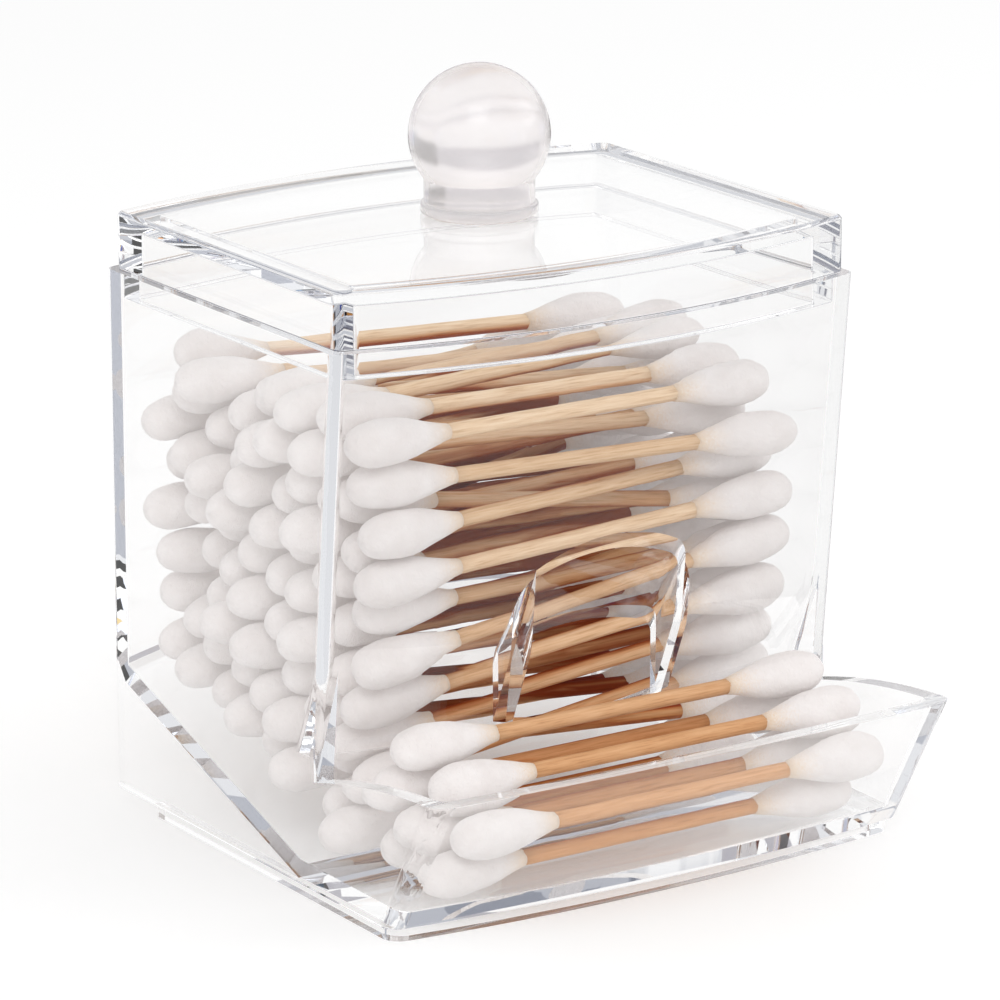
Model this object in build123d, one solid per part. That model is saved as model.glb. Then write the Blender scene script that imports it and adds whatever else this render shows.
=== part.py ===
from build123d import *
import math
import os

import numpy as np

# Clear moulded dispenser for cotton swabs: a box with bowed front and rear walls, a sloping chute for a
# floor, an open tray in front, and a lift-off lid with a ball knob. Millimetres, +Z up, front towards -Y.
# The origin is under the middle of the whole object, on the surface that it stands on.

os.makedirs("parts", exist_ok=True)

# Swab that the box is made for
swab_length = 76.0
end_room = 4.9             # air between a swab that lies in the middle and either side wall

# Box
wall = 2.8
housing_width = swab_length + 2 * (end_room + wall)
housing_depth = 63.6       # between the front and rear corner edges, at the rim
housing_height = 83.6
front_lean = 5.2           # degrees that the front wall leans back towards its foot
wall_bow = 7.1             # how far the front and rear walls bulge past their corner edges
corner_radius = 1.6

# Slanting lower panel of the front wall
crease_height = 35.2
panel_bottom = 21.6
panel_setback = 5.6        # how far the panel's lower edge lies behind its crease

# Hooded notch in the front wall
notch_width = 26.6
notch_top = 35.6           # crown of the hood's inner edge
notch_rise = 2.2           # crown of the hood over its shoulders
notch_rounding = 2.6
hood_wall = 2.2
hood_slope = 58.0          # degrees that the hood climbs towards the front

# Chute, floor and feet
foot_height = 2.3
foot_inset = 1.0
foot_start = 11.0          # behind this distance from the rear edge the skirts have no foot
floor_thickness = 3.0
chute_slope = 18.5         # degrees
chute_rear_height = 19.5   # underside of the chute at the rear corner edges
bend_size = 2.4            # flat that breaks the turn from the rear wall into the chute

# Tray
tray_reach = 26.6          # lip in front of the box's front corner edges, at the rim
tray_base_reach = 14.2     # foot of the tray's front face, measured the same way
lip_height = 23.9
lip_bow = 1.4
base_bow = 3.2
rim_rear_height = 18.9     # tray rim where it leaves the box
rim_middle_height = 22.4
tray_corner_radius = 3.0

# Lid
lid_height = 8.8
lid_ledge = 1.2            # the box stands this far out past the lid, all round
lid_top_thickness = 3.0
lid_rim = 5.2
plug_depth = 4.4
plug_clearance = 0.3
lid_edge = 0.5             # flat along the lid's top edges

# Ball knob
ball_radius = 10.6
ball_height = 11.9         # centre over the lid's top face
ball_band = 10.0           # degrees of each narrow band that the ball is made of
ball_sides = 26
neck_radius = 8.3
collar_radius = 8.8
collar_height = 1.8

# Swabs
bud_length = 17.5
bud_radius = 3.6
bud_tip_share = 0.50       # radius at the very tip, as a share of the bud's
bud_shoulder_share = 0.88
bud_shoulder_at = 0.13     # place of the shoulder, as a share of the bud's length from the tip
bud_full_at = 0.42         # place of the full radius
bud_neck_radius = 1.75
stick_radius = 1.25
sides = 6
swab_gap = 0.15            # least air between two swabs
wall_gap = 0.2             # least air between a swab and the plastic
fill_share = 0.57          # share of the chamber's section that the fullest parts of the buds take up
tray_swabs = 7
tray_columns = 3
head_room = 1.0            # air under the lid's plug
swabs_per_layer = 6
tilt_spread = 4.0          # how far one end of a swab was dropped out of line with the other
tray_lean = 1.5            # how far the right ends in the tray lie forward of and under the left ones
end_play = end_room - 1.5  # how far a swab may lie off the middle, to the left or right
drop_height = 20.0         # start of the lowest row over the floor
seed = 11

# How the swabs are let settle
stations = 31              # places along the width where they are tested against each other
steps = 2400
fall_step = 0.05           # how far they fall in the first step, dying away to none
falling_share = 0.55       # share of the steps in which they still fall
easing = 2.6               # how hard several pushes on one swab add up

# Places that follow from the sizes
half_width = housing_width / 2
inner_half = half_width - wall
total_depth = wall_bow + housing_depth + tray_reach + lip_bow
y_rear = total_depth / 2 - wall_bow
y_front = y_rear - housing_depth
y_middle = (y_front + y_rear) / 2
y_lip = y_front - tray_reach
y_base = y_front - tray_base_reach
bow_radius = (half_width**2 + wall_bow**2) / (2 * wall_bow)
floor_top = foot_height + floor_thickness
chute_fall = math.tan(math.radians(chute_slope))
chute_drop = floor_thickness / math.cos(math.radians(chute_slope))
lid_top = housing_height + lid_height
plug_bottom = housing_height - plug_depth
beyond = 20.0              # cutters run this far past what they cut


def lean_at(z):
    """How far the front wall lies behind its own rim, at height z."""
    return math.tan(math.radians(front_lean)) * np.clip(housing_height - z, 0, None)


def rear_wall_y(x, inset):
    """Rear wall at x, on a surface this far inside the outer one."""
    return y_rear + wall_bow - bow_radius + np.sqrt((bow_radius - inset) ** 2 - x**2)


def front_wall_y(x, inset, z):
    """Front wall above the crease."""
    return y_front - wall_bow + bow_radius - np.sqrt((bow_radius - inset) ** 2 - x**2) + lean_at(z)


def chute_under(y):
    """Height of the chute's underside."""
    return chute_rear_height - (y_rear - y) * chute_fall


def chute_top(y):
    """Height of the surface that the swabs roll down."""
    return chute_under(y) + chute_drop


def tray_front_y(z, inset):
    """Tray's front face at its corners, at height z."""
    share = (z - foot_height) / (lip_height - foot_height)
    return y_base + (y_lip - y_base) * share + inset


def plan(inset, radius, height):
    """The box's outline in plan, this far inside the outer one."""
    x = half_width - inset
    rear, front = float(rear_wall_y(x, inset)), float(front_wall_y(x, inset, height))
    with BuildSketch(Plane.XY.offset(height)) as outline:
        with BuildLine():
            ThreePointArc((-x, rear), (0, float(rear_wall_y(0, inset))), (x, rear))
            Line((x, rear), (x, front))
            ThreePointArc((x, front), (0, float(front_wall_y(0, inset, height))), (-x, front))
            Line((-x, front), (-x, rear))
        make_face()
        fillet(outline.vertices(), radius)
    return outline.sketch


def box_form(inset, radius, low, high):
    """The box's form between two heights: upright rear and sides, and a leaning front."""
    lean = Vector(0, float(lean_at(low) - lean_at(high)), low - high)
    leaning = extrude(plan(inset, radius, high), amount=lean.length, dir=lean.normalized())
    upright = extrude(plan(inset, radius, low), high - low)
    ahead = Box(2 * (half_width - inset), housing_depth, high - low, align=(Align.CENTER, Align.MAX, Align.MIN))
    return leaning & (upright + Pos(0, y_middle, low) * ahead)


def tray_plan(inset, radius, height, y_back):
    """The tray's outline in plan at one height: straight sides and a slightly bowed front."""
    x = half_width - inset
    share = (height - foot_height) / (lip_height - foot_height)
    bow = base_bow + (lip_bow - base_bow) * share
    front = tray_front_y(height, inset)
    with BuildSketch(Plane.XY.offset(height)) as outline:
        with BuildLine():
            Polyline((-x, front), (-x, y_back), (x, y_back), (x, front))
            ThreePointArc((x, front), (0, front - bow), (-x, front))
        make_face()
        corners = outline.vertices().sort_by(Axis.Y)[:2]
        fillet(corners, radius)
    return outline.sketch


def side_cut(points, half):
    """A prism across the width, from an outline of (y, z) points."""
    return extrude(make_face(Plane.YZ * Polyline(*points, close=True)), half, both=True)


def ruled(lower, upper):
    return loft([lower, upper], ruled=True)


def front_strip(back, half, height):
    """The slice of the box's plan between its outer front arc and the line y = back."""
    front = float(front_wall_y(half, 0, height))
    with BuildSketch(Plane.XY.offset(height)) as strip:
        with BuildLine():
            Polyline((-half, front), (-half, back), (half, back), (half, front))
            ThreePointArc((half, front), (0, float(front_wall_y(0, 0, height))), (-half, front))
        make_face()
    return strip.sketch


def slanted(section, drop_to):
    """A plan section at the crease, carried down and back along the panel's slant."""
    fall = crease_height - drop_to
    back = panel_setback * fall / (crease_height - panel_bottom)
    slant = Vector(0, back, -fall)
    return extrude(section, amount=slant.length, dir=slant.normalized())


def arch(half, crown, shoulder, bottom, rounding):
    """An upright section with a gently arched top, in the plane of the hood's inner edge."""
    with BuildSketch(Plane((0, hood_back, 0), x_dir=(1, 0, 0), z_dir=(0, -1, 0))) as section:
        with BuildLine():
            Polyline((-half, shoulder), (-half, bottom), (half, bottom), (half, shoulder))
            ThreePointArc((half, shoulder), (0, crown), (-half, shoulder))
        make_face()
        fillet(section.vertices().sort_by(Axis.Z)[-2:], rounding)
    return section.sketch


hood_back = float(front_wall_y(0, wall, crease_height)) + panel_setback
hood_reach = hood_back - float(front_wall_y(0, 0, housing_height)) + wall
hood_run = Vector(0, -math.cos(math.radians(hood_slope)), math.sin(math.radians(hood_slope)))


def hood_sweep(grow, bottom):
    """The notch's arch, grown all round, carried forward and up through the front wall."""
    section = arch(
        notch_width / 2 + grow,
        notch_top + grow,
        notch_top - notch_rise + grow,
        bottom,
        notch_rounding + grow,
    )
    return extrude(section, amount=hood_reach / math.cos(math.radians(hood_slope)), dir=hood_run)


def box_shell():
    """Walls, chute, floor and tray, without the slanting panel."""
    y_far = y_rear + wall_bow + beyond
    outer = box_form(0, corner_radius, foot_height, housing_height)
    body = outer
    body += ruled(
        tray_plan(0, tray_corner_radius, foot_height, y_rear - wall),
        tray_plan(0, tray_corner_radius, lip_height, y_rear - wall),
    )
    # The tray's rims rise in a shallow curve from the box to the lip.
    y_rim = y_front + float(lean_at(rim_rear_height))
    y_halfway = (y_rim + y_lip) / 2
    with BuildSketch(Plane.YZ) as over_rim:
        with BuildLine():
            ThreePointArc((y_rim, rim_rear_height), (y_halfway, rim_middle_height), (y_lip, lip_height))
            Polyline((y_lip, lip_height), (y_lip - beyond, lip_height), (y_lip - beyond, housing_height),
                     (y_rim, housing_height), (y_rim, rim_rear_height))
        make_face()
    over_tray = extrude(over_rim.sketch, half_width + beyond, both=True)
    body -= over_tray - outer

    # The chamber is open at the top and ends below at the chute and the floor.
    chamber = box_form(wall, corner_radius / 2, foot_height, housing_height)
    y_turn = y_rear - (chute_rear_height + chute_drop - floor_top) / chute_fall
    under_floor = side_cut(
        [(y_far, chute_top(y_far)), (y_turn, floor_top), (y_lip - beyond, floor_top),
         (y_lip - beyond, -beyond), (y_far, -beyond)],
        half_width + beyond,
    )
    body -= chamber - under_floor
    tray_space = ruled(
        tray_plan(wall, tray_corner_radius - wall / 2, floor_top, y_turn),
        tray_plan(wall, tray_corner_radius - wall / 2, crease_height, y_turn),
    )
    body -= tray_space

    # Under the chute the box is open to the rear and the bottom, between the side skirts.
    y_level = y_rear - (chute_rear_height - foot_height) / chute_fall
    y_foot = y_base + foot_inset + wall
    body -= side_cut(
        [(y_far, chute_under(y_far)), (y_level, foot_height), (y_foot, foot_height),
         (y_foot, -beyond), (y_far, -beyond)],
        inner_half,
    )
    bend = body.edges().filter_by(GeomType.ELLIPSE).sort_by(Axis.Y)[-1]
    return chamfer(bend, bend_size)


def feet():
    """A low foot under the skirts and the tray's front, set in a little from the faces above it."""
    outer = tray_plan(foot_inset, tray_corner_radius, foot_height, y_rear - foot_start)
    inner = tray_plan(foot_inset + wall, tray_corner_radius / 2, foot_height, y_rear)
    return extrude(outer - inner, -foot_height)


def front_panel():
    """The lower front wall leans back under the crease. Its lower edge leaves a way out for the swabs."""
    outer = front_strip(y_middle, inner_half, crease_height)
    inner = plan(wall, corner_radius / 2, crease_height)
    return slanted(outer - inner, panel_bottom)


def hood():
    """Roof and cheeks of the notch, inside the front wall."""
    half = notch_width / 2 + 2 * hood_wall
    strip = front_strip(hood_back + wall, half, crease_height)
    rise = Vector(0, -float(lean_at(crease_height)), housing_height - crease_height)
    room = extrude(strip, amount=rise.length, dir=rise.normalized()) + slanted(strip, panel_bottom)
    return hood_sweep(hood_wall, panel_bottom - beyond) & room


def make_housing():
    body = box_shell() + feet() + front_panel() + hood()
    body -= hood_sweep(0, panel_bottom - beyond / 2)
    return body.solid()


def make_lid():
    """A hollow cap that sits on the box's rim, with a plug that reaches down inside it."""
    cap = extrude(plan(lid_ledge, corner_radius, housing_height), lid_height)
    cap = chamfer(cap.faces().sort_by(Axis.Z)[-1].edges(), lid_edge)
    plug_inset = wall + plug_clearance
    cap += extrude(plan(plug_inset, corner_radius / 2, plug_bottom), plug_depth)
    hollow = plan(lid_ledge + lid_rim, corner_radius / 2, plug_bottom)
    return (cap - extrude(hollow, plug_depth + lid_height - lid_top_thickness)).solid()


def faceted(profile, around):
    """A turned shape about +Z in narrow flats, from (radius, height) pairs, foot first."""
    turns = [2 * math.pi * k / around for k in range(around)]
    rings = [[Vector(r * math.cos(a), r * math.sin(a), h) for a in turns] for r, h in profile]
    outlines = [rings[0], rings[-1]]
    for low, high in zip(rings, rings[1:]):
        outlines += [[low[k - 1], low[k], high[k], high[k - 1]] for k in range(around)]
    return Solid(Shell([Face(Wire.make_polygon(outline)) for outline in outlines]))


def make_knob():
    """A ball that narrows to a neck and stands on a low collar."""
    neck_angle = 180 - math.degrees(math.asin(neck_radius / ball_radius))
    bands = int(neck_angle / ball_band)
    angles = [neck_angle] + [ball_band * i for i in range(bands, 0, -1)] + [ball_band / 10]
    profile = [(collar_radius, 0), (collar_radius, collar_height), (neck_radius, collar_height)]
    for angle in angles:
        around_pole = math.radians(angle)
        height = ball_height + ball_radius * math.cos(around_pole)
        profile.append((ball_radius * math.sin(around_pole), height))
    return Pos(0, y_middle, lid_top) * faceted(profile, ball_sides)


# Shape of one swab along its axis: distance from the tip, and radius
bud_stations = [0, bud_shoulder_at * bud_length, bud_full_at * bud_length, bud_length]
bud_radii = [bud_tip_share * bud_radius, bud_shoulder_share * bud_radius, bud_radius, bud_neck_radius]


def make_bud():
    """Cotton bud along +Z, with its tip at the origin."""
    return faceted(zip(bud_radii, bud_stations), sides)


def make_stick():
    """Stick along +Z, from the neck of one bud to the neck of the other."""
    section = Plane.XY.offset(bud_length) * RegularPolygon(stick_radius, sides)
    return extrude(section, swab_length - 2 * bud_length).solid()


def radius_along(distance):
    """A swab's radius at a distance from its nearer tip: 0 past the tip."""
    at_neck = bud_length + bud_neck_radius - stick_radius
    radii = np.interp(distance, bud_stations + [at_neck], bud_radii + [stick_radius])
    return np.where(distance < 0, 0.0, radii)


def front_limit(x, z):
    """Inner face of the front wall and its panel, and of the hood, at height z."""
    down = np.clip(crease_height - z, 0, None)
    limit = front_wall_y(x, wall, np.maximum(z, crease_height))
    limit = limit + panel_setback * down / (crease_height - panel_bottom)
    rise = (z - notch_top - hood_wall) / math.tan(math.radians(hood_slope))
    over = np.clip(rise, 0, None)
    at_hood = np.abs(x) < notch_width / 2 + 2 * hood_wall
    return np.where(at_hood, np.maximum(limit, hood_back - over), limit)


def starts(rng, count):
    """Where the swabs are dropped: rows in the chamber, and a few in the tray."""
    pitch = 2 * bud_radius + swab_gap
    columns = int((housing_depth - 2 * wall) / pitch)
    rows = math.ceil(count / columns)
    cells = [(column, row) for row in range(rows) for column in range(columns)][:count]
    y_first = y_rear - wall - bud_radius
    left = np.array([(y_first - (c + 0.5 * (r % 2)) * pitch, floor_top + drop_height + r * pitch)
                     for c, r in cells])
    right = left + rng.normal(0, tilt_spread, left.shape)
    y_tray = y_front - bud_radius
    places = [(i % tray_columns, i // tray_columns) for i in range(tray_swabs)]
    in_tray = np.array([(y_tray - c * pitch, floor_top + bud_radius + r * pitch) for c, r in places])
    tray_right = in_tray + rng.normal(-tray_lean, tilt_spread / 2, in_tray.shape)
    return np.vstack([left, in_tray]), np.vstack([right, tray_right])


def settle():
    """Lets the swabs fall and push each other clear. Returns each one's shift along X and its two ends.

    A swab is a straight line with a radius that changes along it. Its place is held as the (y, z) of
    that line at two stations, and every pair is tested at many stations across the width.
    """
    rng = np.random.default_rng(seed)
    room = (housing_depth - 2 * wall + wall_bow) * (plug_bottom - head_room - chute_top(y_front))
    count = int(fill_share * room / (math.pi * bud_radius**2))
    left, right = starts(rng, count)
    total = len(left)
    in_tray = (np.arange(total) >= count)[:, None]
    shift = rng.uniform(-end_play, end_play, total)

    reach = swab_length / 2 - bud_radius
    x = np.linspace(-inner_half, inner_half, stations)
    share = (x + reach) / (2 * reach)
    weight = (1 - share) ** 2 + share**2
    radius = radius_along(swab_length / 2 - np.abs(x[None, :] - shift[:, None]))
    real = radius > 0
    span = np.where(real[:, None] & real[None, :], radius[:, None] + radius[None, :] + swab_gap, 0)
    span[np.arange(total), np.arange(total)] = 0
    clear = radius + wall_gap
    back = rear_wall_y(x, wall) - clear
    gate = np.full_like(radius, hood_back)
    steep = clear / math.cos(math.radians(chute_slope))

    for step in range(steps):
        falling = fall_step * max(0, 1 - step / (falling_share * steps))
        left[:, 1] -= falling
        right[:, 1] -= falling
        points = left[:, None] * (1 - share)[:, None] + right[:, None] * share[:, None]

        # Each pair is pushed apart at the station where it overlaps most.
        away = points[:, None] - points[None, :]
        distance = np.sqrt((away**2).sum(-1)) + 1e-9
        overlap = span - distance
        worst = overlap.argmax(-1)[..., None]
        depth = np.clip(np.take_along_axis(overlap, worst, -1)[..., 0], 0, None)
        line = np.take_along_axis(away / distance[..., None], worst[..., None], 2)[:, :, 0]
        at = share[worst[..., 0]]
        push = line * (depth / (2 * weight[worst[..., 0]]))[..., None]
        pulls_left = (push * (1 - at)[..., None]).sum(1)
        pulls_right = (push * at[..., None]).sum(1)
        pulls = (depth > 0).sum(1)[:, None]

        # Then each swab is pushed off the walls, the floor and the chute, where it is deepest in them.
        y, z = points[..., 0], points[..., 1]
        front = np.where(z < panel_bottom, gate, front_limit(x, z)) + clear
        tray_back = np.maximum(gate - wall - clear, tray_front_y(z, wall) + clear)
        limits = [
            (np.where(in_tray, y - tray_back, y - back), (-1, 0)),
            (np.where(in_tray, tray_front_y(z, wall) + clear - y, front - y), (1, 0)),
            (chute_top(y) + steep - z, (0, 1)),
            (floor_top + clear - z, (0, 1)),
        ]
        for deep, way in limits:
            deep = np.where(real, deep, -1)
            k = deep.argmax(1)
            much = np.clip(deep[np.arange(total), k], 0, None)[:, None] * np.array(way)
            pulls_left += much * ((1 - share[k]) / weight[k])[:, None]
            pulls_right += much * (share[k] / weight[k])[:, None]
            pulls = pulls + (np.abs(much).sum(1) > 0)[:, None]
        ease = easing / np.maximum(pulls, easing)
        left += pulls_left * ease
        right += pulls_right * ease
    return shift, left, right, reach


bud = make_bud()
stick = make_stick()
shift, left, right, reach = settle()
order = np.argsort((left[:, 1] + right[:, 1]) / 2)
layers = [order[i:i + swabs_per_layer] for i in range(0, len(order), swabs_per_layer)]
for number, layer in enumerate(layers, start=1):
    buds, sticks = [], []
    for i in layer:
        ends = Vector(-reach, *left[i]), Vector(reach, *right[i])
        along = (ends[1] - ends[0]).normalized()
        middle = ends[0] + along * ((shift[i] + reach) / along.X)
        tip = middle - along * (swab_length / 2)
        far_tip = middle + along * (swab_length / 2)
        upward = Vector(0, 0, 1) - along * along.Z
        forward = Plane(tip, x_dir=upward, z_dir=along).location
        backward = Plane(far_tip, x_dir=upward, z_dir=-along).location
        buds += [bud.moved(forward), bud.moved(backward)]
        sticks.append(stick.moved(forward))
    export_step(Compound(buds), f"parts/swab_buds_{number:02d}.step")
    export_step(Compound(sticks), f"parts/swab_sticks_{number:02d}.step")

export_step(make_housing(), "parts/housing.step")
export_step(make_lid(), "parts/lid.step")
export_step(make_knob(), "parts/knob.step")
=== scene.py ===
import math

import bmesh
import bpy
import numpy as np
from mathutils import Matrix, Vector
from mathutils.bvhtree import BVHTree


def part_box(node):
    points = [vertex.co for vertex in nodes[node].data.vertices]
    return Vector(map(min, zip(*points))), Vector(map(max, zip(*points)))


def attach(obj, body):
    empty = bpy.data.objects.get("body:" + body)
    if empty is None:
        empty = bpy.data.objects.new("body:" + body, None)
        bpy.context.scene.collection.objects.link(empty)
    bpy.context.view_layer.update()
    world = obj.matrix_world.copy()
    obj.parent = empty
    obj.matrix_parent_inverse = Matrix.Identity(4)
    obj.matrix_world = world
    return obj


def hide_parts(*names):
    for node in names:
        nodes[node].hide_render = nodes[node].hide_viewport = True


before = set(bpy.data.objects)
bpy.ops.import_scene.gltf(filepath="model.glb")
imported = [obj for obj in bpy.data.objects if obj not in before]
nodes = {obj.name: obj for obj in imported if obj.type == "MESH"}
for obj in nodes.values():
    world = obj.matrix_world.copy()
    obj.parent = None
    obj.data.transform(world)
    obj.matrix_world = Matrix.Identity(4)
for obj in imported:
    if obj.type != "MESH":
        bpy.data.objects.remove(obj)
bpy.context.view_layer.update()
scene = bpy.context.scene
rng = np.random.default_rng(5)

# Sizes of the swabs, as in the frame
MM = 0.001
SWAB_LENGTH = 76 * MM
BUD_LENGTH = 17.5 * MM
BUD_RADIUS = 3.55 * MM
STICK_RADIUS = 1.22 * MM
STICK_OVERLAP = 0.3 * MM

# Sizes of the mouldings and the knob, as in the frame, and of their fine rounding
CREASE_HEIGHT = 35.2 * MM
CREASE_ROUNDING = 2.5 * MM
HOUSING_ROUNDING = 0.3 * MM
LID_ROUNDING = 0.25 * MM
COLLAR_ROUNDING = 0.4 * MM
NECK_RADIUS = 8.3 * MM
COLLAR_RADIUS = 8.8 * MM
COLLAR_HEIGHT = 1.8 * MM
BALL_TOP_RADIUS = 0.02 * MM

# Points this near to each other are one point, in the swabs and in the mouldings
SWAB_WELD = 0.001 * MM
MOULDING_WELD = 0.002 * MM

# Steps of the turned shapes
BUD_RINGS, BUD_SIDES = 26, 28
STICK_RINGS, STICK_SIDES = 16, 18
KNOB_SIDES, BALL_STEPS, COLLAR_STEPS = 96, 60, 6
# Rings at each end of a stick that its own bud shades too much, so they are as open as the next ring
END_RINGS = 3

# Outline of a bud: share of its length from the tip, share of its radius
BUD_SHAPE = [(0, 0), (0.008, 0.24), (0.03, 0.47), (0.07, 0.68), (0.12, 0.82), (0.19, 0.93), (0.28, 0.99),
             (0.37, 1.0), (0.48, 0.96), (0.60, 0.86), (0.72, 0.71), (0.84, 0.54), (0.93, 0.42), (1.0, 0.355)]
TIP_SHARE = 0.02

# Waves of a turned surface: share of the radius, waves in a turn, radians in a millimetre, times the phase.
# The radius shrinks by a share of itself to make room for them.
BUD_WAVES = [(0.022, 2, 0.25, 1), (0.018, 3, -0.6, 2), (0.012, 5, 1.1, 3)]
STICK_WAVES = [(0.03, 2, 0, 1), (0.02, 3, 0.05, 1)]
BUD_SHRINK, STICK_SHRINK = 0.03, 0.02
MOST_PHASE = 10
# Millimetres of grain between two swabs whose phases differ by one
GRAIN_SHIFT = 9

# Height over which the sticks turn from orange to pale: a painted shade, darker and more orange low in the
# heap
PAINTED_SHADE_HEIGHT = 80 * MM

# Directions in which a stick looks for the open, and how far off its surface it starts
OPEN_WAYS = 40
OPEN_START = 0.05 * MM

# Turns of a ray after which plastic lets it go straight on, and after which the floor cards are left out
MOST_TURNS = 9
CARD_TURNS = 2

# Colours
BLACK, WHITE = (0, 0, 0), (1, 1, 1)
CLEAR, MILKY = (0.995, 0.995, 0.995), (0.95, 0.92, 0.92)
DARK, GREY = (0.02, 0.02, 0.02), (0.45, 0.44, 0.48)
STRIP_SHADES = [(0.02, 0.02, 0.03), (0.95, 0.42, 0.12), (0.10, 0.14, 0.5), (0.98, 0.75, 0.35),
                (0.05, 0.04, 0.05), (0.45, 0.25, 0.6), (0.2, 0.45, 0.8), (0.03, 0.03, 0.03)]

# Directions
UP, TO_RIGHT, TO_LEFT, TO_BACK = (0, 0, 1), (1, 0, 0), (-1, 0, 0), (0, 1, 0)

# Rows of coloured strips: side of the object, first centre, step to the next, size, facing
STRIP_ROWS = [("right", (0.62, -0.42, 0.07), (0, 0.07, 0), (0.05, 0.12), TO_LEFT),
              ("left", (-0.6, 0.6, 0.1), (0, -0.08, 0), (0.06, 0.18), (1, -0.3, 0)),
              ("front", (-0.4, -0.9, 0.14), (0.14, 0, 0), (0.1, 0.22), TO_BACK)]


# Parts of a material

def new_material(name):
    material = bpy.data.materials.new(name)
    material.use_nodes = True
    tree = material.node_tree
    return material, tree, tree.nodes["Principled BSDF"]


def node(tree, kind, **values):
    """A new node with the values of its sockets, or of its own settings where no socket has that name."""
    made = tree.nodes.new(kind)
    for key, value in values.items():
        if key in made.inputs:
            made.inputs[key].default_value = value
        else:
            setattr(made, key, value)
    return made


def ramp(tree, source, stops):
    """The colour that a value from 0 to 1 stands for, from (value, colour) stops."""
    made = tree.nodes.new("ShaderNodeValToRGB")
    elements = made.color_ramp.elements
    while len(elements) < len(stops):
        elements.new(0.5)
    for element, (place, colour) in zip(elements, stops):
        element.position = place
        element.color = (*colour, 1)
    tree.links.new(source, made.inputs["Fac"])
    return made.outputs["Color"]


def noise(tree, place, **values):
    made = node(tree, "ShaderNodeTexNoise", **values)
    tree.links.new(place, made.inputs["Vector"])
    return made.outputs["Fac"]


def object_place(tree):
    return node(tree, "ShaderNodeTexCoord").outputs["Object"]


def swab_place(tree, scale, turn=0):
    """The place on a swab, as turns around it and millimetres along it, stretched and turned."""
    around = node(tree, "ShaderNodeUVMap", uv_map="swab")
    stretch = node(tree, "ShaderNodeMapping")
    stretch.inputs["Scale"].default_value = (*scale, 1)
    stretch.inputs["Rotation"].default_value = (0, 0, turn)
    tree.links.new(around.outputs["UV"], stretch.inputs["Vector"])
    return stretch.outputs["Vector"]


def attribute(tree, name):
    return node(tree, "ShaderNodeAttribute", attribute_name=name).outputs["Fac"]


def share_between(tree, value, low, high):
    """0 where the value is at low, 1 where it is at high."""
    made = node(tree, "ShaderNodeMapRange")
    made.inputs["From Min"].default_value = low
    made.inputs["From Max"].default_value = high
    tree.links.new(value, made.inputs["Value"])
    return made.outputs["Result"]


def bump(tree, shader, height, strength, distance, after=None):
    made = node(tree, "ShaderNodeBump", Strength=strength, Distance=distance)
    tree.links.new(height, made.inputs["Height"])
    if after:
        tree.links.new(after.outputs["Normal"], made.inputs["Normal"])
    tree.links.new(made.outputs["Normal"], shader.inputs["Normal"])
    return made


def multiplied(tree, first, second):
    made = node(tree, "ShaderNodeMix", data_type="RGBA", blend_type="MULTIPLY")
    made.inputs["Factor"].default_value = 1
    tree.links.new(first, made.inputs["A"])
    tree.links.new(second, made.inputs["B"])
    return made.outputs["Result"]


def larger(tree, first, second):
    made = node(tree, "ShaderNodeMath", operation="MAXIMUM")
    tree.links.new(first, made.inputs[0])
    tree.links.new(second, made.inputs[1])
    return made.outputs[0]


def above(tree, value, limit):
    """1 where the value is above the limit, else 0."""
    made = node(tree, "ShaderNodeMath", operation="GREATER_THAN")
    made.inputs[1].default_value = limit
    tree.links.new(value, made.inputs[0])
    return made.outputs[0]


def mixed(tree, share, first, second):
    """The first shader where the share is 0, the second one where it is 1."""
    made = node(tree, "ShaderNodeMixShader")
    tree.links.new(share, made.inputs[0])
    tree.links.new(first, made.inputs[1])
    tree.links.new(second, made.inputs[2])
    return made.outputs[0]


def see_through(tree, colour):
    return node(tree, "ShaderNodeBsdfTransparent", Color=(*colour, 1)).outputs[0]


def show(tree, surface):
    tree.links.new(surface, tree.nodes["Material Output"].inputs["Surface"])


# Materials

def clear_plastic(name, colour, roughness, clearness=1):
    """Clear plastic. Shadow and diffuse rays pass straight through it, so that what is inside is lit.

    So do rays that it has already turned many times, which lets the light out of its thick edges; it dims
    them to grey at each surface, a painted shade that draws grey lines there.
    """
    material, tree, shader = new_material(name)
    shader.inputs["Base Color"].default_value = (*colour, 1)
    shader.inputs["Transmission Weight"].default_value = clearness
    shader.inputs["IOR"].default_value = 1.49
    shader.inputs["Roughness"].default_value = roughness
    flow = noise(tree, object_place(tree), Scale=22, Detail=0)
    bump(tree, shader, flow, 1, 0.02 * MM)
    path = node(tree, "ShaderNodeLightPath")
    turned = above(tree, path.outputs["Ray Depth"], MOST_TURNS)
    # Painted shade: late rays go on dimmed to grey, which draws grey lines in the thick edges
    late = mixed(tree, turned, shader.outputs[0], see_through(tree, (0.76, 0.77, 0.80)))
    either = larger(tree, path.outputs["Is Shadow Ray"], path.outputs["Is Diffuse Ray"])
    show(tree, mixed(tree, either, late, see_through(tree, (0.96, 0.96, 0.96))))
    return material


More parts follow.
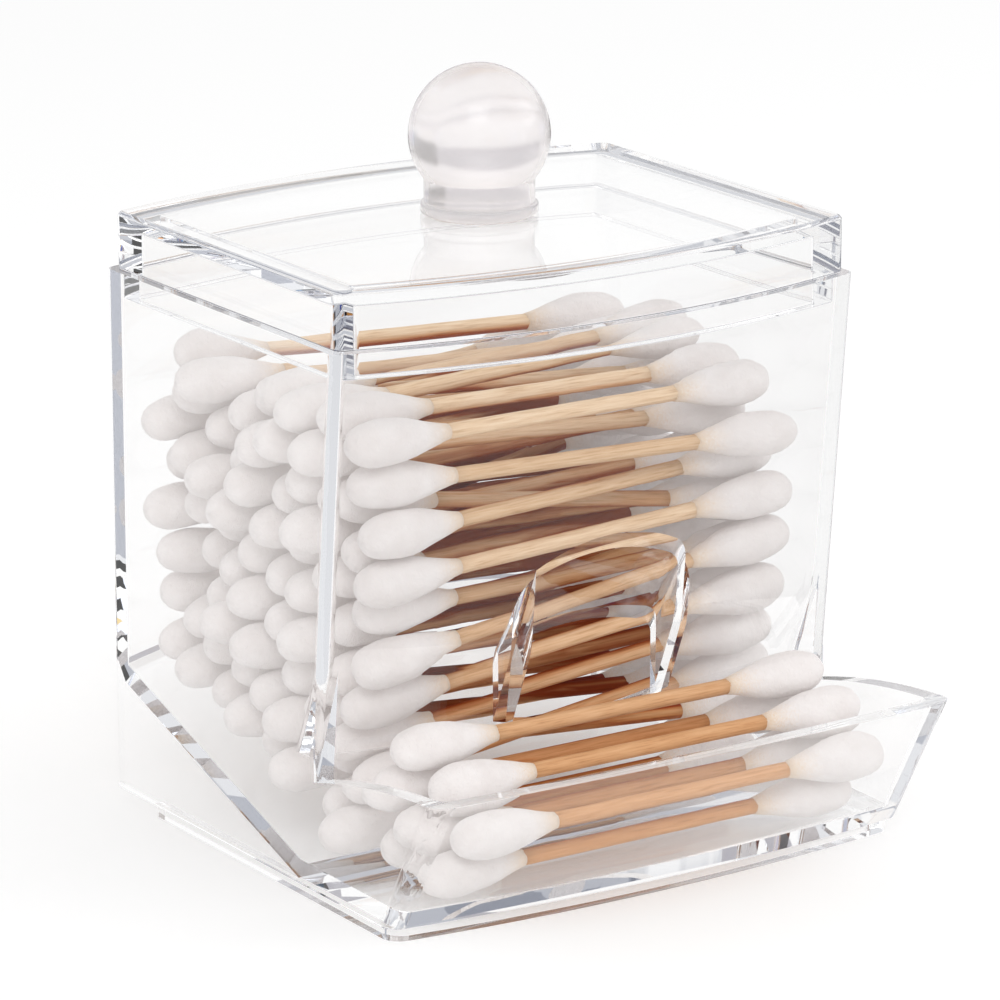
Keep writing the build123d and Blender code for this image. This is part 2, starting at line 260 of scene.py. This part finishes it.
def cotton_material():
    """Soft, slightly pink cotton with a faint painted glow, that thins out in streaks towards the stick,
    which shows through there.
    """
    material, tree, shader = new_material("cotton")
    shader.inputs["Roughness"].default_value = 1
    shader.inputs["Specular IOR Level"].default_value = 0.1
    shader.inputs["Sheen Weight"].default_value = 0.35
    shader.inputs["Sheen Roughness"].default_value = 0.6
    # Painted light: the cotton glows a faint pink of its own
    shader.inputs["Emission Color"].default_value = (1, 0.93, 0.9, 1)
    shader.inputs["Emission Strength"].default_value = 0.13
    place = object_place(tree)
    streaks = swab_place(tree, (14, 2.2), 0.35)
    fibre = noise(tree, streaks, Scale=2.2, Detail=6, Roughness=0.65, Distortion=0.6)
    tone = noise(tree, place, Scale=260, Detail=3)
    colour = ramp(tree, tone, [(0.3, (0.775, 0.725, 0.71)), (0.7, (0.84, 0.80, 0.79))])
    ragged = node(tree, "ShaderNodeMath", operation="MULTIPLY_ADD")
    ragged.inputs[1].default_value = 0.5
    tree.links.new(fibre, ragged.inputs[0])
    tree.links.new(attribute(tree, "tail"), ragged.inputs[2])
    sparse = share_between(tree, ragged.outputs[0], 0.95, 1.24)
    thin = ramp(tree, sparse, [(0.0, BLACK), (0.5, (0.32, 0.32, 0.32)), (1.0, WHITE)])
    stick_shows = node(tree, "ShaderNodeMix", data_type="RGBA")
    stick_shows.inputs["B"].default_value = (0.76, 0.58, 0.41, 1)
    tree.links.new(thin, stick_shows.inputs["Factor"])
    tree.links.new(colour, stick_shows.inputs["A"])
    tree.links.new(stick_shows.outputs["Result"], shader.inputs["Base Color"])
    lumps = noise(tree, place, Scale=420, Detail=3)
    lumpy = bump(tree, shader, lumps, 0.9, 0.45 * MM)
    bump(tree, shader, fibre, 0.8, 0.28 * MM, after=lumpy)
    return material


def wood_material():
    """Grained wood, a tone of its own on each stick, with painted shade: darker and redder deep in the heap,
    and darker and more orange low down.
    """
    material, tree, shader = new_material("stick_wood")
    shader.inputs["Roughness"].default_value = 0.62
    shader.inputs["Specular IOR Level"].default_value = 0.3
    streaks = swab_place(tree, (14, 0.09))
    grain = noise(tree, streaks, Scale=1.6, Detail=6, Roughness=0.6, Distortion=0.4)
    wood = ramp(tree, grain, [
        (0.25, (0.60, 0.37, 0.20)), (0.45, (0.86, 0.63, 0.42)), (0.7, (0.97, 0.78, 0.58))])
    tone = ramp(tree, attribute(tree, "tone"), [(0, (0.82, 0.74, 0.66)), (1, WHITE)])
    # Painted shade: sticks darker and redder where the heap closes them in, from how open each point is
    painted_gap_shade = ramp(tree, attribute(tree, "openness"), [
        (0.0, (0.40, 0.06, 0.01)), (0.22, (0.56, 0.18, 0.05)), (0.42, (0.93, 0.75, 0.60)), (0.6, WHITE)])
    axes = node(tree, "ShaderNodeSeparateXYZ")
    tree.links.new(object_place(tree), axes.inputs[0])
    height = share_between(tree, axes.outputs["Z"], 0, PAINTED_SHADE_HEIGHT)
    # Painted shade: sticks darker and more orange towards the bottom of the heap
    painted_low_shade = ramp(tree, height, [(0.12, (0.80, 0.52, 0.30)), (0.65, WHITE)])
    toned = multiplied(tree, wood, tone)
    shaded = multiplied(tree, toned, painted_gap_shade)
    tree.links.new(multiplied(tree, shaded, painted_low_shade), shader.inputs["Base Color"])
    bump(tree, shader, grain, 0.3, 0.05 * MM)
    return material


# Placing

def smooth(mesh):
    mesh.polygons.foreach_set("use_smooth", [True] * len(mesh.polygons))


def place_mesh(name, mesh, material, body, replaced):
    mesh.materials.clear()
    mesh.materials.append(material)
    made = bpy.data.objects.new(name, mesh)
    scene.collection.objects.link(made)
    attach(made, body)
    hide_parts(replaced)


# Swabs: the sticks in the frame say where each one lies

def loose_parts(mesh):
    """The separate solids of a node, as arrays of corner points, in the order of the mesh's points."""
    copy = bmesh.new()
    copy.from_mesh(mesh)
    bmesh.ops.remove_doubles(copy, verts=copy.verts, dist=SWAB_WELD)
    met = set()
    parts = []
    for seed in copy.verts:
        if seed in met:
            continue
        met.add(seed)
        front = [seed]
        part = []
        while front:
            vertex = front.pop()
            part.append(tuple(vertex.co))
            for edge in vertex.link_edges:
                other = edge.other_vert(vertex)
                if other not in met:
                    met.add(other)
                    front.append(other)
        parts.append(np.array(part))
    copy.free()
    return parts


def swab_lines(stick_node):
    """The middle and the direction, towards +X, of each stick of a node."""
    lines = []
    for part in loose_parts(stick_node.data):
        middle = part.mean(0)
        along = np.linalg.svd(part - middle)[2][0]
        if along[0] < 0:
            along = -along
        lines.append((middle, along))
    return lines


def side_axes(along):
    up = np.array([0, 0, 1.0])
    first = np.cross(up, along)
    first /= np.linalg.norm(first)
    return first, np.cross(along, first)


def waved(waves, station, turn, phase):
    """Share of the radius that the waves add at a place on a turned surface."""
    return sum(size * math.sin(around * turn + along * station / MM + times * phase)
               for size, around, along, times in waves)


def even_directions(count):
    """Directions spread evenly over a sphere, on a spiral."""
    heights = 1 - 2 * (np.arange(count) + 0.5) / count
    turns = math.pi * (1 + math.sqrt(5)) * np.arange(count)
    flat = np.sqrt(1 - heights**2)
    return [Vector(v) for v in np.stack([flat * np.cos(turns), flat * np.sin(turns), heights], 1)]


ALL_WAYS = even_directions(OPEN_WAYS)


def share_open(place, normal, heap):
    """Share of what a point faces, from 0 to 1, that the heap of swabs leaves open."""
    start = place + normal * OPEN_START
    total = seen = 0
    for way in ALL_WAYS:
        facing = way.dot(normal)
        if facing > 0:
            total += facing
            if heap.ray_cast(start, way)[0] is None:
                seen += facing
    return seen / total


class Tubes:
    """Collects turned shapes along given lines into one mesh, with a UV map of (turn, millimetres along)."""

    def __init__(self):
        self.points, self.faces, self.uvs, self.tones, self.tails = [], [], [], [], []

    def add(self, start, along, stations, radii, sides, tone, waves, shrink):
        """One shape. The tone is the same all over it, and the tail runs from 0 to 1 along it."""
        first, second = side_axes(along)
        turns = np.linspace(0, 2 * math.pi, sides, endpoint=False)
        phase = rng.uniform(0, MOST_PHASE)
        base = len(self.points)
        for station, radius in zip(stations, radii):
            for turn in turns:
                r = radius * (1 + waved(waves, station, turn, phase) - shrink)
                spot = start + along * station + r * (math.cos(turn) * first + math.sin(turn) * second)
                self.points.append(tuple(spot))
        shift = phase * GRAIN_SHIFT
        rows = len(stations)
        for row in range(rows - 1):
            v0, v1 = stations[row] / MM + shift, stations[row + 1] / MM + shift
            tail0, tail1 = stations[row] / stations[-1], stations[row + 1] / stations[-1]
            for k in range(sides):
                after = (k + 1) % sides
                a, b = base + row * sides + k, base + row * sides + after
                self.faces.append((a, b, b + sides, a + sides))
                u0, u1 = k / sides + phase, (k + 1) / sides + phase
                self.uvs += [(u0, v0), (u1, v0), (u1, v1), (u0, v1)]
                self.tones += [tone] * 4
                self.tails += [tail0, tail0, tail1, tail1]
        for row, order in ((0, -1), (rows - 1, 1)):
            ring = [base + row * sides + k for k in range(sides)][::order]
            self.faces.append(tuple(ring))
            self.uvs += [(phase, stations[row] / MM)] * sides
            self.tones += [tone] * sides
            self.tails += [stations[row] / stations[-1]] * sides

    def mesh(self, name, open_to=None):
        """The mesh of all shapes. With open_to, the heap, it also says how open each point of a stick is."""
        mesh = bpy.data.meshes.new(name)
        mesh.from_pydata(self.points, [], self.faces)
        uv = mesh.uv_layers.new(name="swab")
        uv.data.foreach_set("uv", np.array(self.uvs, np.float32).ravel())
        for attribute_name, values in (("tone", self.tones), ("tail", self.tails)):
            layer = mesh.attributes.new(attribute_name, "FLOAT", "CORNER")
            layer.data.foreach_set("value", np.array(values, np.float32))
        smooth(mesh)
        # How open each point is sets the sticks' painted shade in the heap's gaps
        if open_to:
            shares = np.array([share_open(v.co, v.normal, open_to) for v in mesh.vertices])
            shares = shares.reshape(-1, STICK_RINGS, STICK_SIDES)
            shares[:, :END_RINGS] = shares[:, END_RINGS:END_RINGS + 1]
            shares[:, -END_RINGS:] = shares[:, -END_RINGS - 1:-END_RINGS]
            openness = mesh.attributes.new("openness", "FLOAT", "POINT")
            openness.data.foreach_set("value", shares.ravel())
        return mesh


def bud_outline(rings):
    """Stations along a bud, close together at its tip, and the radius at each."""
    places, shares = np.array(BUD_SHAPE).T
    stations = 1 - np.cos(np.linspace(0, math.pi / 2, rings))
    return stations * BUD_LENGTH, np.maximum(np.interp(stations, places, shares), TIP_SHARE) * BUD_RADIUS


def swab_tubes(stick_node):
    """The buds and the sticks of the swabs whose sticks are in a node."""
    bud_stations, bud_radii = bud_outline(BUD_RINGS)
    half = SWAB_LENGTH / 2 - BUD_LENGTH + STICK_OVERLAP
    stick_stations = np.linspace(0, 2 * half, STICK_RINGS)
    stick_radii = [STICK_RADIUS] * STICK_RINGS
    buds, sticks = Tubes(), Tubes()
    for middle, along in swab_lines(stick_node):
        tone = rng.uniform(0, 1)
        for way in (1, -1):
            tip = middle - way * along * SWAB_LENGTH / 2
            buds.add(tip, way * along, bud_stations, bud_radii, BUD_SIDES, tone, BUD_WAVES, BUD_SHRINK)
        foot = middle - along * half
        sticks.add(foot, along, stick_stations, stick_radii, STICK_SIDES, tone, STICK_WAVES, STICK_SHRINK)
    return buds, sticks


def heap_tree(groups):
    """All swabs as one tree for casting rays."""
    points, faces = [], []
    for group in groups.values():
        for tubes in group:
            base = len(points)
            points += tubes.points
            faces += [tuple(base + i for i in face) for face in tubes.faces]
    return BVHTree.FromPolygons(points, faces)


def build_swabs():
    cotton = cotton_material()
    wood = wood_material()
    names = sorted(n for n in nodes if n.startswith("swab_sticks"))
    groups = {name[-2:]: swab_tubes(nodes[name]) for name in names}
    heap = heap_tree(groups)
    for number, (buds, sticks) in groups.items():
        bud_mesh = buds.mesh("cotton_" + number)
        place_mesh("cotton_" + number, bud_mesh, cotton, "dispenser", "swab_buds_" + number)
        stick_mesh = sticks.mesh("stick_" + number, open_to=heap)
        place_mesh("stick_" + number, stick_mesh, wood, "dispenser", "swab_sticks_" + number)


# Mouldings: the frame's own shape with its edges broken by a fine rounding

def soften_crease(copy, width):
    """Spreads the shallow crease of the front wall over a rounded strip."""
    least, most, near = math.radians(8), math.radians(35), 0.01 * MM
    crease = [e for e in copy.edges if all(abs(v.co.z - CREASE_HEIGHT) < near for v in e.verts)
              and len(e.link_faces) == 2 and least < e.calc_face_angle(0) < most]
    bmesh.ops.bevel(copy, geom=crease, offset=width, offset_type="OFFSET", segments=5, profile=0.5,
                    affect="EDGES", clamp_overlap=True)


def rounded_copy(source, name, width, crease_width=0):
    """A copy of a node's mesh, welded, with its sharp edges bevelled and its curved faces smooth."""
    flat, sharp = math.radians(0.5), math.radians(22)
    copy = bmesh.new()
    copy.from_mesh(nodes[source].data)
    bmesh.ops.remove_doubles(copy, verts=copy.verts, dist=MOULDING_WELD)
    bmesh.ops.dissolve_degenerate(copy, dist=MOULDING_WELD, edges=copy.edges)
    bmesh.ops.dissolve_limit(copy, angle_limit=flat, verts=copy.verts, edges=copy.edges)
    if crease_width:
        soften_crease(copy, crease_width)
    mesh = bpy.data.meshes.new(name)
    copy.to_mesh(mesh)
    copy.free()
    holder = bpy.data.objects.new(name + "_plain", mesh)
    scene.collection.objects.link(holder)
    bevel = holder.modifiers.new("bevel", "BEVEL")
    bevel.width = width
    bevel.segments = 2
    bevel.limit_method = "ANGLE"
    bevel.angle_limit = sharp
    bevel.use_clamp_overlap = True
    bevel.miter_outer = "MITER_ARC"
    smooth(mesh)
    weigh = holder.modifiers.new("weigh", "WEIGHTED_NORMAL")
    weigh.mode = "FACE_AREA"
    weigh.weight = 100
    weigh.keep_sharp = False
    made = bpy.data.meshes.new_from_object(holder.evaluated_get(bpy.context.evaluated_depsgraph_get()))
    bpy.data.objects.remove(holder)
    return made


def build_mouldings():
    plastic = clear_plastic("clear_plastic", CLEAR, 0.0)
    housing = rounded_copy("housing", "housing_moulding", HOUSING_ROUNDING, CREASE_ROUNDING)
    place_mesh("housing_moulding", housing, plastic, "dispenser", "housing")
    lid = rounded_copy("lid", "lid_moulding", LID_ROUNDING)
    place_mesh("lid_moulding", lid, plastic, "lid", "lid")


# Knob: a collar, a short neck and a ball, turned in one piece

def turned_mesh(name, centre, profile, sides):
    """A turned shape about +Z, from (radius, height) pairs, foot first, closed at both ends."""
    sharp = math.radians(50)
    points, faces = [], []
    for radius, height in profile:
        for k in range(sides):
            turn = 2 * math.pi * k / sides
            points.append((centre.x + radius * math.cos(turn), centre.y + radius * math.sin(turn), height))
    for row in range(len(profile) - 1):
        for k in range(sides):
            a, b = row * sides + k, row * sides + (k + 1) % sides
            faces.append((a, b, b + sides, a + sides))
    faces.append(tuple(range(sides))[::-1])
    faces.append(tuple(range((len(profile) - 1) * sides, len(profile) * sides)))
    mesh = bpy.data.meshes.new(name)
    mesh.from_pydata(points, [], faces)
    smooth(mesh)
    mesh.set_sharp_from_angle(angle=sharp)
    return mesh


def knob_outline(low, high):
    """The knob's (radius, height) pairs between the corners of its box in the frame, foot first."""
    radius = (high.x - low.x) / 2
    middle = high.z - radius
    inner = COLLAR_RADIUS - COLLAR_ROUNDING
    collar_top = low.z + COLLAR_HEIGHT
    outline = [(inner, low.z), (COLLAR_RADIUS, low.z + COLLAR_ROUNDING)]
    for step in range(COLLAR_STEPS + 1):
        turn = step / COLLAR_STEPS * math.pi / 2
        outline.append((inner + COLLAR_ROUNDING * math.cos(turn),
                        collar_top - COLLAR_ROUNDING * (1 - math.sin(turn))))
    outline.append((NECK_RADIUS, collar_top))
    neck_turn = math.pi - math.asin(NECK_RADIUS / radius)
    for step in range(BALL_STEPS):
        turn = neck_turn * (1 - step / BALL_STEPS)
        outline.append((radius * math.sin(turn), middle + radius * math.cos(turn)))
    outline.append((BALL_TOP_RADIUS, high.z))
    return outline


def build_knob():
    milky = clear_plastic("knob_plastic", MILKY, 0.2, clearness=0.7)
    low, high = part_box("knob")
    mesh = turned_mesh("knob_ball", (low + high) / 2, knob_outline(low, high), KNOB_SIDES)
    place_mesh("knob_ball", mesh, milky, "lid", "knob")


# Camera at the photo's viewing angle

def build_camera():
    azimuth, elevation, distance = math.radians(-33.5), math.radians(15.83), 0.821
    target = Vector((0, 0.008, 0.0483))
    back = Vector((math.sin(azimuth) * math.cos(elevation), -math.cos(azimuth) * math.cos(elevation),
                   math.sin(elevation)))
    data = bpy.data.cameras.new("camera")
    data.sensor_width = 36
    data.lens = 196.5
    data.shift_x = 0.0115
    data.shift_y = 0.0015
    data.clip_start = 0.01
    camera = bpy.data.objects.new("camera", data)
    scene.collection.objects.link(camera)
    camera.location = target + back * distance
    camera.rotation_euler = back.to_track_quat("Z", "Y").to_euler()
    scene.camera = camera


# World, lights and floor

def build_world(ambient_strength):
    """White to the camera and to what glass and gloss show, and a plain soft light to every other ray."""
    world = bpy.data.worlds.new("world")
    scene.world = world
    world.use_nodes = True
    tree = world.node_tree
    ambient = tree.nodes["Background"]
    ambient.inputs["Color"].default_value = (*WHITE, 1)
    ambient.inputs["Strength"].default_value = ambient_strength
    white = node(tree, "ShaderNodeBackground", Color=(*WHITE, 1), Strength=1)
    path = node(tree, "ShaderNodeLightPath")
    outside = larger(tree, path.outputs["Is Camera Ray"], path.outputs["Is Glossy Ray"])
    seen = larger(tree, outside, path.outputs["Is Transmission Ray"])
    surface = mixed(tree, seen, ambient.outputs[0], white.outputs[0])
    tree.links.new(surface, tree.nodes["World Output"].inputs["Surface"])


def panel(name, place, size, watts):
    """A square light that faces the object."""
    aim = Vector((0, 0, 0.05))
    data = bpy.data.lights.new(name, "AREA")
    data.shape = "RECTANGLE"
    data.size = data.size_y = size
    data.energy = watts
    light = bpy.data.objects.new(name, data)
    scene.collection.objects.link(light)
    light.location = place
    light.rotation_euler = (Vector(place) - aim).to_track_quat("Z", "Y").to_euler()


def flat_sheet(name, length, width, material):
    """A rectangle about its own origin that faces up."""
    x, y = length / 2, width / 2
    mesh = bpy.data.meshes.new(name)
    mesh.from_pydata([(-x, -y, 0), (x, -y, 0), (x, y, 0), (-x, y, 0)], [], [(0, 1, 2, 3)])
    mesh.materials.append(material)
    made = bpy.data.objects.new(name, mesh)
    scene.collection.objects.link(made)
    return made


def build_floor():
    paint, _, shader = new_material("floor")
    shader.inputs["Base Color"].default_value = (0.9, 0.9, 0.9, 1)
    shader.inputs["Roughness"].default_value = 0.9
    shader.inputs["Specular IOR Level"].default_value = 0
    shader.inputs["Emission Color"].default_value = (*WHITE, 1)
    shader.inputs["Emission Strength"].default_value = 0.15
    floor = flat_sheet("floor", 8, 8, paint)
    floor.location.z = -0.0001


# Cards around the object that only its plastic shows

def card(name, centre, size, facing, shade, in_glass=True):
    """A card that the plastic mirrors or bends into view.

    One with in_glass=False is for the plastic's first mirror images alone, and not for light from inside it.
    """
    paint, tree, _ = new_material(name)
    seen = node(tree, "ShaderNodeEmission", Color=(*shade, 1), Strength=1).outputs[0]
    if not in_glass:
        path = node(tree, "ShaderNodeLightPath")
        late = above(tree, path.outputs["Ray Depth"], CARD_TURNS)
        seen = mixed(tree, late, seen, see_through(tree, WHITE))
    show(tree, seen)
    made = flat_sheet(name, *size, paint)
    made.location = centre
    made.rotation_euler = Vector(facing).to_track_quat("Z", "Y").to_euler()
    made.visible_camera = made.visible_diffuse = made.visible_shadow = False
    made.visible_transmission = in_glass


def build_cards():
    """Dark and grey cards draw the plastic's edges, and rows of coloured strips put the fringes in them."""
    low, raised = 0.0005, 0.14
    card("card_low", (0.25, -0.48, low), size=(1.6, 0.8), facing=UP, shade=DARK, in_glass=False)
    card("card_low_right", (0.66, 0.2, low), size=(1.16, 0.6), facing=UP, shade=DARK, in_glass=False)
    card("card_left", (-0.75, -0.3, raised), size=(0.6, 0.22), facing=TO_RIGHT, shade=GREY)
    card("card_right", (0.75, -0.1, raised), size=(1.1, 0.22), facing=TO_LEFT, shade=DARK)
    card("card_back", (0.45, 0.9, 0.15), size=(1.5, 0.24), facing=(-0.3, -1, 0), shade=GREY)
    for side, first, step, size, facing in STRIP_ROWS:
        for number, shade in enumerate(STRIP_SHADES):
            card(f"strip_{side}_{number}", Vector(first) + number * Vector(step), size, facing, shade)


# Everything in its order

build_swabs()
build_mouldings()
build_knob()
build_camera()
build_world(ambient_strength=0.84)
panel("key", (-0.5, -0.7, 0.9), size=0.6, watts=3)
panel("fill", (0.9, -0.4, 0.5), size=0.6, watts=1.5)
build_floor()
build_cards()

scene.view_settings.view_transform = "Standard"
scene.cycles.max_bounces = 14
scene.cycles.transmission_bounces = 14
scene.cycles.diffuse_bounces = 2
scene.cycles.glossy_bounces = 14
scene.cycles.transparent_max_bounces = 20
